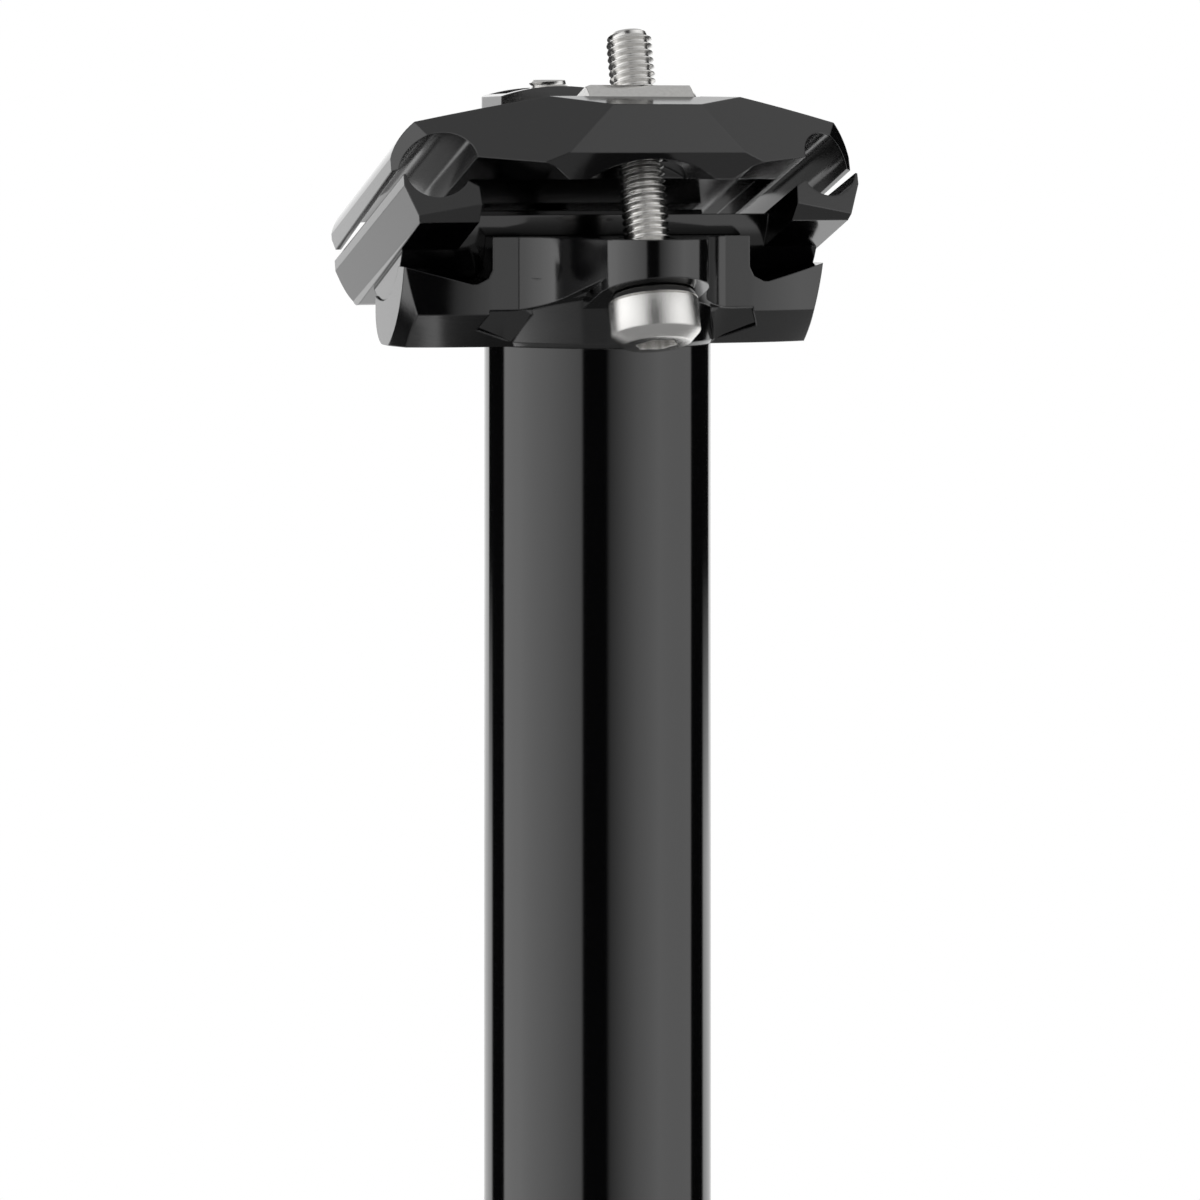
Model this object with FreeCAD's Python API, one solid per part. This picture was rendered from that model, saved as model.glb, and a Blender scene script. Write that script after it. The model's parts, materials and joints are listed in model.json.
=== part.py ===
"""Two-bolt bicycle seatpost: a 25.4 mm tube under a head whose cradle holds a pair of saddle-rail clamps.

Millimetres, +Z up along the tube, -Y to the rear of the bicycle, +X to the viewer's right from the rear.
The origin is the centre of the tube's lower end.
Two helper frames share the clamp centre. The head frame is upright. The rail frame leans with the rails:
its Y runs along them towards the front and its Z stands square to them.
"""
import FreeCAD, Part
import math
import os
from FreeCAD import Vector

# Tube and overall
post_length = 300.0        # rail clamp centre to the tube's lower end
tube_diameter = 25.4
tube_wall = 2.2
tube_edge = 0.5            # chamfer of the tube's lower edge
clamp_forward = 3.0        # the clamp centre stands this far in front of the tube's axis
rail_slope = 17.0          # degrees by which the rails drop towards the front

# Saddle rails
rail_diameter = 7.0
rail_spacing = 44.0
groove_clearance = 0.05    # radial, around each rail

# Head
cradle_radius = 9.8
cradle_clearance = 0.08    # radial, between the cradle and the lower clamp
head_width = 48.2
head_drop = 14.6           # clamp centre down to the head's flat bottom
head_rear = 12.5           # clamp centre to the rear face
head_front = 12.5          # clamp centre to the front face
wall_half_width = 14.7     # the upright cradle walls end here
rear_wall_drop = 2.5       # clamp centre down to the rear wall's top
front_wall_drop = 7.0
trough_drop = 7.6          # lowest line of the rail clearance beside the walls
trough_bottom_at = 17.0
trough_flat = 0.6
trough_corner_high = 1.6   # bevel between the trough and the wall
trough_corner_low = 0.6
trough_corner_in = 0.5
lobe_tip_drop = 5.7        # height of the cradle's lobes at the ends
under_bevel = 3.7          # the rear face turns under at 45 degrees over this height
lobe_bow_run = 9.4         # the rear face bows forwards over this width at each end
lobe_end_back = 10.7       # clamp centre back to the rear face at the lobes' ends
lobe_front = 2.8           # the outer lobes end this far in front of the clamp centre
lobe_front_radius = 3.4
scallop_radius = 14.0      # end outline of the lobes
scallop_growth = 5.0       # the outline grows by this over scallop_run
scallop_run = 2.4
scallop_centre_y = 3.0
scallop_centre_z = -2.0
collar_margin = 0.5        # the collar stands this proud of the tube, and is bevelled down to it
collar_height = 0.5        # flat bottom up to the floor of the pocket around the neck
neck_growth = 1.6          # the neck's radius grows by this up to the front wall's height
pocket_radius = 17.8
pocket_rim_drop = 12.6     # clamp centre down to the pocket's outer rim
pocket_front = 10.4        # clamp centre back to the pocket's front side, at the rim's height
pocket_lean = 0.8          # run to the rear for each millimetre up, on the pocket's front side and the neck
pocket_blend = 4.0         # hollow radius between the neck and that front side
pocket_land = 1.0          # rim left between the pocket and the wall's outline
pocket_depth = 1.6         # pocket's ceiling above that rim
wall_under = -13.6         # underside of the rear wall, square to the rear bolt
spigot_length = 30.0       # the head's plug inside the tube
spigot_bore = 6.5          # radius of the lightening hole in that plug
spigot_bore_top = 3.0      # solid metal left under the head's flat bottom plane

# Bolts, nuts and washers (M5)
bolt_diameter = 5.0
bolt_length = 30.0
bolt_head_diameter = 9.6
bolt_head_height = 4.7
bolt_head_cone = 1.1
bolt_cone_inset = 1.27
bolt_tip_chamfer = 0.55
socket_diameter = 4.4      # across the star socket's points
socket_points = 6
socket_lobe = 0.62         # radius of each hollow between two points
socket_lobe_out = 0.155    # the hollows' centres stand this far outside the points
socket_depth = 2.6
thread_clearance = 0.05    # radial, bolt in nut
bolt_hole_clearance = 0.35  # radial, bolt in the clamp and the head
nut_radius = 3.8
nut_half_length = 6.0
nut_flat = 2.9             # nut axis to its flat top
nut_seat_clearance = 0.06
nut_chamfer = 0.4
washer_sphere = 5.2
washer_rim = 0.9
washer_dome = 0.9          # height of the ball side above the rim
washer_bore_clearance = 0.1
washer_seat_clearance = 0.15
washer_mouth = 4.3         # radius of the dished seat's mouth
rear_bolt_back = 19.5      # clamp centre back to the rear bolt, along the rails
rear_tip_height = 14.4     # bolt tip above the rail line
rear_nut_height = 4.9      # nut axis above the rail line
front_bolt_forward = 16.5  # clamp centre forward to the front bolt, which stands upright
front_tip_height = 15.1    # bolt tip above the clamp centre
front_nut_height = 10.0

# Bolt bosses of the head
boss_radius = 5.9
rear_boss_back = 23.4      # clamp centre back to the boss's rounding centre
flank_half = 11.8          # the hollow flank between wall and boss starts here
flank_mid_half = 9.5       # passes here
flank_mid_back = 14.4
flank_end_half = 8.1       # and ends here, where the boss's straight side starts
flank_end_back = 17.0
front_tab_top = 9.5        # clamp centre down to the front tab's top
spot_radius = 6.2          # round relief beside each bolt head
rear_slot = 1.0            # extra length of the rear boss hole each way
front_slot = 0.9

# Lower clamp
wing_inner = 17.6
wing_inner_top = 17.9
wing_inner_top_height = -2.6
wing_lip = 25.7
wing_lip_height = -0.8
wing_lip_edge = 1.2        # height of the lip's upright outer edge
wing_outer_bottom = 24.2
wing_bottom = -6.0
wing_rear = 19.0
wing_rear_bow = 1.8        # the outer side of each wing's rear end is this much shorter
wing_front = 17.4
wing_rear_bevel = 2.1
wing_rear_bevel_height = 1.4
wing_front_bottom = -7.2   # the underside falls a little towards the front
wing_front_round = 4.2
bar_half_length = 23.9
bar_top = -3.0
rib_half_width = 14.4      # a rib along the bar's front closes the gap under the upper clamp
rib_top = 1.0
rib_rear = 3.0

# Upper clamp
clamp_top = 6.15
crown_mid_half = 13.5      # the crowned top passes here
crown_mid_height = 5.95
shoulder_corner = 23.9
shoulder_height = 5.3
shoulder_mid_in = 0.36     # where the shoulder's arc passes, as parts of its width and height
shoulder_mid_up = 0.56
lip_outer = 26.2
lip_height = 2.0
lip_bottom = 0.5           # rear end of the outer lip's lower edge
lip_front_bottom = -0.3
rim_land = 1.05            # width of the rim inside each groove
plate_bottom = 1.4
skirt_bottom = -3.1
skirt_half_width = 9.1
facet_bottom_half = 10.9
facet_bottom_height = -2.1
facet_top_half = 4.9
facet_top_height = 4.0
facet_bottom_back = 25.7
facet_top_back = 27.1
side_corner_back = 16.6    # rear outline at the shoulder corner
lip_back = 14.2
lip_front = 16.0
lip_front_round = 1.6
crease_height = -1.0
skirt_back = 23.0
bevel_top_back = 23.2      # the rear bevel reaches the flat top here
arch_half_width = 6.4
arch_rise = 1.75
plate_front = 19.0
front_boss_half_width = 7.4
front_boss_rear = 10.6
front_boss_front = 22.0
front_boss_top = 14.3
front_boss_low = -2.0
front_boss_corner = 3.0
front_boss_crown = 1.2     # the boss's top falls by this at its sides
spine_half_width = 6.4
spine_rear = 12.0          # clamp centre back to the spine's rear end
spine_rear_drop = 0.2
spine_front_drop = 3.2     # boss top down to the spine's end
pocket_clearance = 0.25    # beside each nut's ends
rear_clamp_slot = 0.6      # extra length of the clamp's bolt holes each way
front_clamp_slot = 1.2

# Values that follow from those above
tube_radius = tube_diameter / 2
tube_bore = tube_radius - tube_wall
slope = math.radians(rail_slope)
rail_radius = rail_diameter / 2
groove_radius = rail_radius + groove_clearance
rail_x = rail_spacing / 2
bar_radius = cradle_radius - cradle_clearance
bolt_radius = bolt_diameter / 2
hole_radius = bolt_radius + bolt_hole_clearance
rear_under_head = rear_tip_height - bolt_length
front_under_head = front_tip_height - bolt_length
rear_boss_under = rear_under_head + washer_rim
front_tab_under = front_under_head + washer_rim
seat_depth = math.sqrt(washer_sphere ** 2 - washer_mouth ** 2)
collar_radius = tube_radius + collar_margin
nut_seat = nut_radius + nut_seat_clearance
arch_radius = (arch_half_width ** 2 + arch_rise ** 2) / (2 * arch_rise)

# Working sizes
big = 4 * head_width
over = 1.0                 # overrun of shapes that cut or join
tolerance = 0.01           # for finding edges by their place

X_AXIS = Vector(1, 0, 0)
Y_AXIS = Vector(0, 1, 0)
Z_AXIS = Vector(0, 0, 1)
ORIGIN = Vector(0, 0, 0)
CLAMP_CENTRE = Vector(0, clamp_forward, post_length)


def from_head(shape):
    """Carry a shape from the upright frame at the clamp centre to the part's frame."""
    placed = shape.copy()
    placed.translate(CLAMP_CENTRE)
    return placed


def lean(shape):
    """Turn a shape from the rail frame into the upright frame at the clamp centre."""
    turned = shape.copy()
    turned.rotate(ORIGIN, X_AXIS, -rail_slope)
    return turned


def from_rail(shape):
    """Carry a shape from the rail frame to the part's frame."""
    return from_head(lean(shape))


def box(x0, x1, y0, y1, z0, z1):
    return Part.makeBox(x1 - x0, y1 - y0, z1 - z0, Vector(x0, y0, z0))


def cylinder(radius, base, axis, length):
    return Part.makeCylinder(radius, length, base, axis)


def across(radius, y, z, half_length):
    """A cylinder lying along X."""
    return cylinder(radius, Vector(-half_length, y, z), X_AXIS, 2 * half_length)


def wire_face(edges):
    return Part.Face(Part.Wire(edges))


def polygon(points):
    return Part.makePolygon(points + [points[0]])


def side_prism(points, x0, x1):
    """Points are (y, z) pairs, drawn out along X."""
    outline = polygon([Vector(x0, y, z) for y, z in points])
    return Part.Face(outline).extrude(Vector(x1 - x0, 0, 0))


def end_prism(points, y0, y1):
    """Points are (x, z) pairs, drawn out along Y."""
    outline = polygon([Vector(x, y0, z) for x, z in points])
    return Part.Face(outline).extrude(Vector(0, y1 - y0, 0))


def plan_prism(points, z0, z1):
    """Points are (x, y) pairs, drawn out along Z."""
    outline = polygon([Vector(x, y, z0) for x, y in points])
    return Part.Face(outline).extrude(Vector(0, 0, z1 - z0))


def beyond(point, normal):
    """A block that fills the side of a plane to which its normal points."""
    block = Part.makeBox(big, big, big, Vector(-big / 2, -big / 2, 0))
    block.rotate(ORIGIN, *turn_onto(normal))
    block.translate(point)
    return block


def turn_onto(normal):
    """Axis and angle that turn +Z onto a direction."""
    turn = FreeCAD.Rotation(Z_AXIS, normal)
    return turn.Axis, math.degrees(turn.Angle)


def mirror_x(shape):
    return shape.mirror(ORIGIN, X_AXIS)


def both_sides(shape):
    return [shape, mirror_x(shape)]


def slot(radius, extra, y, z0, z1):
    """An upright hole at y, drawn out by extra each way along Y."""
    height = z1 - z0
    hole = cylinder(radius, Vector(0, y - extra, z0), Z_AXIS, height)
    hole = hole.fuse(cylinder(radius, Vector(0, y + extra, z0), Z_AXIS, height))
    return hole.fuse(box(-radius, radius, y - extra, y + extra, z0, z1))


def single(shape):
    """Clean a boolean's result and check that it is one solid."""
    cleaned = shape.removeSplitter()
    assert len(cleaned.Solids) == 1, "expected one solid, got %d" % len(cleaned.Solids)
    return cleaned.Solids[0]


def make_post_tube():
    top = post_length - head_drop
    tube = cylinder(tube_radius, ORIGIN, Z_AXIS, top)
    tube = tube.cut(cylinder(tube_bore, ORIGIN, Z_AXIS, top))
    rim = [edge for edge in tube.Edges if abs(edge.BoundBox.ZMax) < tolerance]
    return single(tube.makeChamfer(tube_edge, rim))


def head_profile():
    """The head's full-width section: rear wall and the rounded front of the lobes."""
    bottom = -head_drop
    front_low = lobe_front - lobe_front_radius
    side = -head_width / 2
    round_middle = lobe_front_radius * (1 - math.sqrt(0.5))
    corners = [
        (front_low, bottom),
        (-head_rear, bottom),
        (-head_rear, -rear_wall_drop),
        (lobe_front, -rear_wall_drop),
        (lobe_front, bottom + lobe_front_radius),
    ]
    points = [Vector(side, y, z) for y, z in corners]
    edges = [Part.LineSegment(first, second).toShape() for first, second in zip(points, points[1:])]
    middle = Vector(side, lobe_front - round_middle, bottom + round_middle)
    edges.append(Part.Arc(points[-1], middle, points[0]).toShape())
    return wire_face(edges).extrude(Vector(head_width, 0, 0))


def rear_plan():
    """Plan of the lobes: a flat rear that bows forwards to the ends, with its lower edge bevelled under."""
    bottom = -head_drop
    half = head_width / 2
    flat_half = half - lobe_bow_run
    bow = head_rear - lobe_end_back
    bow_radius = (lobe_bow_run ** 2 + bow ** 2) / (2 * bow)
    mid_run = lobe_bow_run / 2
    mid_y = -head_rear + bow_radius - math.sqrt(bow_radius ** 2 - mid_run ** 2)

    def at(x, y):
        return Vector(x, y, bottom)

    def line(first, second):
        return Part.LineSegment(first, second).toShape()

    left_end = at(-half, -lobe_end_back)
    right_end = at(half, -lobe_end_back)
    left_flat = at(-flat_half, -head_rear)
    right_flat = at(flat_half, -head_rear)
    left_front = at(-half, head_front)
    right_front = at(half, head_front)
    outline = wire_face([
        Part.Arc(left_end, at(-flat_half - mid_run, mid_y), left_flat).toShape(),
        line(left_flat, right_flat),
        Part.Arc(right_flat, at(flat_half + mid_run, mid_y), right_end).toShape(),
        line(right_end, right_front),
        line(right_front, left_front),
        line(left_front, left_end),
    ])
    block = outline.extrude(Vector(0, 0, head_drop))
    rear_edges = [
        edge
        for edge in block.Edges
        if edge.BoundBox.ZMax < bottom + tolerance and edge.BoundBox.YMax < -lobe_end_back + tolerance
    ]
    return block.makeChamfer(under_bevel, rear_edges)


def boss_face(z0):
    """Plan of the rear wall with the bolt boss and the hollow flanks beside it."""
    edges = []

    def line(x0, y0, x1, y1):
        edges.append(Part.LineSegment(Vector(x0, y0, z0), Vector(x1, y1, z0)).toShape())

    def arc(x0, y0, x1, y1, x2, y2):
        ends = Vector(x0, y0, z0), Vector(x1, y1, z0), Vector(x2, y2, z0)
        edges.append(Part.Arc(*ends).toShape())

    to_side = flank_end_half, flank_end_back - rear_boss_back
    side_turn = math.atan2(*to_side) - math.acos(boss_radius / math.hypot(*to_side))
    side_half = boss_radius * math.sin(side_turn)
    side_y = -rear_boss_back - boss_radius * math.cos(side_turn)
    flank_end_y = -flank_end_back
    line(-wall_half_width, head_front, -wall_half_width, -head_rear)
    line(-wall_half_width, -head_rear, -flank_half, -head_rear)
    arc(-flank_half, -head_rear, -flank_mid_half, -flank_mid_back, -flank_end_half, flank_end_y)
    line(-flank_end_half, flank_end_y, -side_half, side_y)
    arc(-side_half, side_y, 0, -rear_boss_back - boss_radius, side_half, side_y)
    line(side_half, side_y, flank_end_half, flank_end_y)
    arc(flank_end_half, flank_end_y, flank_mid_half, -flank_mid_back, flank_half, -head_rear)
    line(flank_half, -head_rear, wall_half_width, -head_rear)
    line(wall_half_width, -head_rear, wall_half_width, head_front)
    line(wall_half_width, head_front, -wall_half_width, head_front)
    return wire_face(edges)


def below(height):
    """Everything behind the clamp centre and under a plane that is square to the rear bolt."""
    under = lean(beyond(Vector(0, 0, height), Vector(0, 0, -1)))
    return under.common(box(-big, big, -big, 0, -big, big))


def pocket_face(z0):
    """Plan of the room behind the neck. Two hollow arcs blend the neck's round into the flat front side."""
    axis_y = -clamp_forward
    reach = collar_radius + pocket_blend
    blend = Vector(0, -pocket_front - pocket_blend, z0)
    blend.x = math.sqrt(reach ** 2 - (blend.y - axis_y) ** 2)
    neck_centre = Vector(0, axis_y, z0)
    leave = neck_centre + (blend - neck_centre) * (collar_radius / reach)
    to_front = Vector(0, pocket_blend, 0)
    middle = blend + (leave - blend + to_front).normalize() * pocket_blend
    meet = blend + to_front
    neck_rear = neck_centre - Vector(0, collar_radius, 0)
    front_corner = Vector(big / 4, -pocket_front, z0)
    rear_corner = Vector(big / 4, -big / 4, z0)

    def other(point):
        return Vector(-point.x, point.y, z0)

    def line(first, second):
        return Part.LineSegment(first, second).toShape()

    return wire_face([
        line(other(front_corner), other(meet)),
        Part.Arc(other(meet), other(middle), other(leave)).toShape(),
        Part.Arc(other(leave), neck_rear, leave).toShape(),
        Part.Arc(leave, middle, meet).toShape(),
        line(meet, front_corner),
        line(front_corner, rear_corner),
        line(rear_corner, other(rear_corner)),
        line(other(rear_corner), other(front_corner)),
    ])


def neck_pocket():
    """The pocket milled round the rear of the neck. Its floor rises from the collar to the pocket's rim."""
    axis_y = -clamp_forward
    floor = -head_drop + collar_height
    corners = [
        (collar_radius - over, floor),
        (collar_radius, floor),
        (pocket_radius, -pocket_rim_drop),
        (pocket_radius, 0),
        (collar_radius - over, 0),
    ]
    section = Part.Face(polygon([Vector(x, axis_y, z) for x, z in corners]))
    ring = section.revolve(Vector(0, axis_y, 0), Z_AXIS, 360)
    at_rim = pocket_face(-pocket_rim_drop)
    up = Vector(0, -pocket_lean, 1)
    room = at_rim.extrude(up * pocket_rim_drop).fuse(at_rim.extrude(up * (pocket_rim_drop - head_drop)))
    floor_cut = ring.common(room).common(below(wall_under))
    inside_land = boss_face(-pocket_rim_drop).makeOffset2D(-pocket_land)
    recess = inside_land.extrude(Vector(0, 0, pocket_rim_drop))
    recess = recess.common(room).common(below(wall_under + pocket_depth))
    return [floor_cut, recess]


def trough(side):
    """Room for the rail clamps beside the upright walls, with a rising floor out to the lobes."""
    wall_x = wall_half_width
    end_x = head_width / 2 + over
    rise = (trough_drop - lobe_tip_drop) / (head_width / 2 - trough_bottom_at)
    points = [
        (wall_x, over),
        (wall_x, -trough_drop + trough_corner_high),
        (wall_x + trough_corner_in, -trough_drop + trough_corner_low),
        (trough_bottom_at - trough_flat, -trough_drop),
        (trough_bottom_at, -trough_drop),
        (end_x, -trough_drop + rise * (end_x - trough_bottom_at)),
        (end_x, over),
    ]
    return end_prism([(side * x, z) for x, z in points], -rear_boss_back, head_front + over)


def end_scallop():
    """The curved bevel around each lobe's end."""
    start = head_width / 2 - scallop_run
    ring = box(start, start + scallop_run + over, -big / 8, big / 8, -big / 8, big / 8)
    centre = Vector(start, scallop_centre_y, scallop_centre_z)
    end_radius = scallop_radius - over * scallop_growth / scallop_run
    cone = Part.makeCone(scallop_radius + scallop_growth, end_radius, scallop_run + over, centre, X_AXIS)
    return ring.cut(cone)


def bolt_axis_point(height):
    """A point on the rear bolt's axis, in the rail frame."""
    return Vector(0, -rear_bolt_back, height)


def dished_seat(centre_height, y):
    """The ball that hollows a washer's seat, in the frame of its bolt."""
    return Part.makeSphere(washer_sphere + washer_seat_clearance, Vector(0, y, centre_height))


def make_head():
    bottom = -head_drop
    body = head_profile().common(rear_plan())
    wall_height = head_drop - rear_wall_drop
    wall = boss_face(bottom).extrude(Vector(0, 0, wall_height))
    wall = wall.cut(below(wall_under))
    front_turn = [
        (head_front + over, bottom - over),
        (head_front + over, bottom + under_bevel),
        (head_front, bottom + under_bevel),
        (head_front - under_bevel, bottom),
        (head_front - under_bevel, bottom - over),
    ]
    wall = wall.cut(side_prism(front_turn, -big / 4, big / 4))
    front_room = box(-big, big, 0, head_front + over, -front_wall_drop, over)
    wall = wall.cut(front_room)
    pad = box(-boss_radius, boss_radius, -rear_boss_back, -flank_end_back, bottom, -rear_wall_drop)
    pad = pad.fuse(cylinder(boss_radius, Vector(0, -rear_boss_back, bottom), Z_AXIS, wall_height))
    pad = pad.cut(below(rear_boss_under))
    neck_foot = Vector(0, -clamp_forward, bottom)
    collar = Part.makeCone(tube_radius, collar_radius, collar_height, neck_foot, Z_AXIS)
    neck_start = neck_foot + Vector(0, 0, collar_height)
    neck_height = head_drop - collar_height - front_wall_drop
    neck = Part.makeCone(collar_radius, collar_radius + neck_growth, neck_height, neck_start, Z_AXIS)
    tab_height = -front_tab_top - front_tab_under
    tab = cylinder(boss_radius, Vector(0, front_bolt_forward, front_tab_under), Z_AXIS, tab_height)
    tab_web = box(-boss_radius, boss_radius, 0, front_bolt_forward, front_tab_under, -front_tab_top)
    spigot_end = Vector(0, -clamp_forward, bottom - spigot_length)
    plug = cylinder(tube_bore, spigot_end, Z_AXIS, spigot_length + over)
    body = body.fuse(wall).cut(neck_pocket())
    body = body.fuse([pad, collar, neck, tab, tab_web, plug])
    body = body.cut(across(cradle_radius, 0, 0, head_width))
    body = body.cut([trough(1), trough(-1)])
    body = body.cut(both_sides(end_scallop()))
    body = body.cut(cylinder(spigot_bore, spigot_end, Z_AXIS, spigot_length - spigot_bore_top))

    pad_length = bolt_head_diameter
    spot = cylinder(spot_radius, bolt_axis_point(rear_boss_under), Vector(0, 0, -1), pad_length)
    rear_hole = slot(hole_radius, rear_slot, -rear_bolt_back, rear_boss_under - over, 5)
    rear_ball = dished_seat(rear_boss_under - seat_depth, -rear_bolt_back)
    for tool in (spot, rear_hole, rear_ball):
        body = body.cut(lean(tool))

    tab_low = Vector(0, front_bolt_forward, front_tab_under)
    front_spot = cylinder(spot_radius, tab_low, Vector(0, 0, -1), pad_length)
    front_hole = slot(hole_radius, front_slot, front_bolt_forward, front_tab_under - over, 0)
    front_ball = dished_seat(front_tab_under - seat_depth, front_bolt_forward)
    body = body.cut([front_spot, front_hole, front_ball])
    return from_head(single(body))


def wing_section(y0, y1):
    """A lower groove carrier, drawn out along the rail."""
    inner_angle = math.atan2(wing_inner_top_height, wing_inner_top - rail_x)
    outer_angle = math.atan2(wing_lip_height, wing_lip - rail_x)

    def on_groove(angle):
        return Vector(rail_x + groove_radius * math.cos(angle), y0, groove_radius * math.sin(angle))

    start = on_groove(inner_angle)
    end = on_groove(outer_angle)
    lowest = Vector(rail_x, y0, -groove_radius)
    corners = [
        end,
        Vector(wing_lip, y0, wing_lip_height),
        Vector(wing_lip, y0, wing_lip_height - wing_lip_edge),
        Vector(wing_outer_bottom, y0, wing_bottom),
        Vector(wing_outer_bottom, y0, wing_front_bottom),
        Vector(wing_inner, y0, wing_front_bottom),
        Vector(wing_inner_top, y0, wing_inner_top_height),
        start,
    ]
    edges = [Part.Arc(start, lowest, end).toShape()]
    for first, second in zip(corners, corners[1:]):
        if first.distanceToPoint(second) > tolerance:
            edges.append(Part.LineSegment(first, second).toShape())
    return wire_face(edges).extrude(Vector(0, y1 - y0, 0))


def along_x(shape, y, z):
    """The edges of a shape that run along X at a place in its side view."""
    return [
        edge
        for edge in shape.Edges
        if edge.BoundBox.YLength < tolerance
        and edge.BoundBox.ZLength < tolerance
        and abs(edge.BoundBox.YMin - y) < tolerance
        and abs(edge.BoundBox.ZMin - z) < tolerance
    ]


def wing_side():
    """The side view that trims each wing: rounded under its front end, bevelled under its rear end."""
    above = groove_radius
    outline = side_prism(
        [
            (-wing_rear, above),
            (-wing_rear, wing_bottom + wing_rear_bevel_height),
            (-wing_rear + wing_rear_bevel, wing_bottom),
            (wing_front, wing_front_bottom),
            (wing_front, above),
        ],
        0,
        2 * wing_lip,
    )
    return outline.makeFillet(wing_front_round, along_x(outline, wing_front, wing_front_bottom))


def make_lower_clamp():
    wing = wing_section(-wing_rear, wing_front).common(wing_side())
    rear_bow = plan_prism(
        [
            (wing_inner, -wing_rear),
            (wing_lip + over, -wing_rear + wing_rear_bow),
            (wing_lip + over, -wing_rear - over),
            (wing_inner, -wing_rear - over),
        ],
        -big / 8,
        big / 8,
    )
    wing = wing.cut(rear_bow)
    bar = across(bar_radius, 0, 0, bar_half_length)
    open_top = box(-big / 4, big / 4, -big / 8, big / 8, bar_top, big / 8)
    bar = bar.cut(open_top.cut(box(-rib_half_width, rib_half_width, rib_rear, big / 8, bar_top, rib_top)))
    rail_room = cylinder(groove_radius, Vector(rail_x, -big / 4, 0), Y_AXIS, big / 2)
    above_wing = box(wing_inner_top, big / 4, -big / 8, big / 8, wing_inner_top_height, big / 8)
    bar = bar.cut(both_sides(rail_room))
    bar = bar.cut(both_sides(above_wing))
    clamp = bar.fuse(both_sides(wing))
    return from_rail(single(clamp))


def upper_section(y0, y1):
    """The upper clamp's section across the rails, drawn out along them."""
    groove_start = Vector(rail_x - groove_radius, y0, 0)
    groove_top = Vector(rail_x, y0, groove_radius)
    groove_end = Vector(rail_x + groove_radius, y0, 0)
    edges = [Part.Arc(groove_start, groove_top, groove_end).toShape()]
    shoulder_mid = Vector(
        lip_outer - (lip_outer - shoulder_corner) * shoulder_mid_in,
        y0,
        lip_height + (shoulder_height - lip_height) * shoulder_mid_up,
    )
    corners = [
        groove_end,
        Vector(rail_x + groove_radius, y0, lip_front_bottom),
        Vector(lip_outer, y0, lip_front_bottom),
        Vector(lip_outer, y0, lip_height),
    ]
    for first, second in zip(corners, corners[1:]):
        edges.append(Part.LineSegment(first, second).toShape())
    edges.append(Part.Arc(corners[-1], shoulder_mid, Vector(shoulder_corner, y0, shoulder_height)).toShape())
    crown_mid = Vector(crown_mid_half, y0, crown_mid_height)
    top = Vector(0, y0, clamp_top)
    edges.append(Part.Arc(Vector(shoulder_corner, y0, shoulder_height), crown_mid, top).toShape())
    rest = [
        top,
        Vector(0, y0, skirt_bottom),
        Vector(skirt_half_width, y0, skirt_bottom),
        Vector(facet_bottom_half, y0, facet_bottom_height),
        groove_start,
    ]
    for first, second in zip(rest, rest[1:]):
        edges.append(Part.LineSegment(first, second).toShape())
    half = wire_face(edges).extrude(Vector(0, y1 - y0, 0))
    return half.fuse(mirror_x(half))


def rear_facets():
    """Blocks that cut the upper clamp's faceted rear face."""
    top_edge = Vector(facet_top_half, -facet_top_back, facet_top_height)
    low_edge = Vector(facet_bottom_half, -facet_bottom_back, facet_bottom_height)
    corner = Vector(shoulder_corner, -side_corner_back, shoulder_height)
    side_normal = (low_edge - top_edge).cross(corner - top_edge)
    if side_normal.y > 0:
        side_normal = side_normal.negative()
    centre_normal = Vector(0, facet_bottom_height - facet_top_height, facet_bottom_back - facet_top_back)
    run = (facet_top_back - facet_bottom_back) / (facet_top_height - facet_bottom_height)
    crease_back = facet_top_back - (facet_top_height - crease_height) * run
    skirt_normal = Vector(0, -(crease_height - skirt_bottom), -(crease_back - skirt_back))
    bevel_normal = Vector(0, -(clamp_top - facet_top_height), facet_top_back - bevel_top_back)
    side = beyond(top_edge, side_normal)
    lip_normal = Vector(side_corner_back - lip_back, shoulder_corner - lip_outer, 0)
    lip = beyond(Vector(shoulder_corner, -side_corner_back, 0), lip_normal)
    return [
        beyond(top_edge, centre_normal),
        beyond(Vector(0, -crease_back, crease_height), skirt_normal),
        beyond(top_edge, bevel_normal),
    ] + both_sides(side) + both_sides(lip)


def front_boss():
    """The boss that carries the front nut and the spine that joins it to the plate, in the upright frame."""
    half = front_boss_half_width
    block = box(-half, half, front_boss_rear, front_boss_front, front_boss_low, front_boss_top)
    uprights = [
        edge
        for edge in block.Edges
        if abs(edge.BoundBox.ZLength - (front_boss_top - front_boss_low)) < tolerance
        and edge.BoundBox.YMin > front_boss_rear + over
    ]
    block = block.makeFillet(front_boss_corner, uprights)
    crown_radius = (half ** 2 + front_boss_crown ** 2) / (2 * front_boss_crown)
    crown = cylinder(crown_radius, Vector(0, 0, front_boss_top - crown_radius), Y_AXIS, 2 * front_boss_front)
    block = block.common(crown)
    spine_rear_top = clamp_top / math.cos(slope) + spine_rear * math.tan(slope) - spine_rear_drop
    spine = side_prism(
        [
            (-spine_rear, 0),
            (-spine_rear, spine_rear_top),
            (front_boss_rear + over, front_boss_top - spine_front_drop),
            (front_boss_rear + over, 0),
        ],
        -spine_half_width,
        spine_half_width,
    )
    return block, spine


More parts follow.
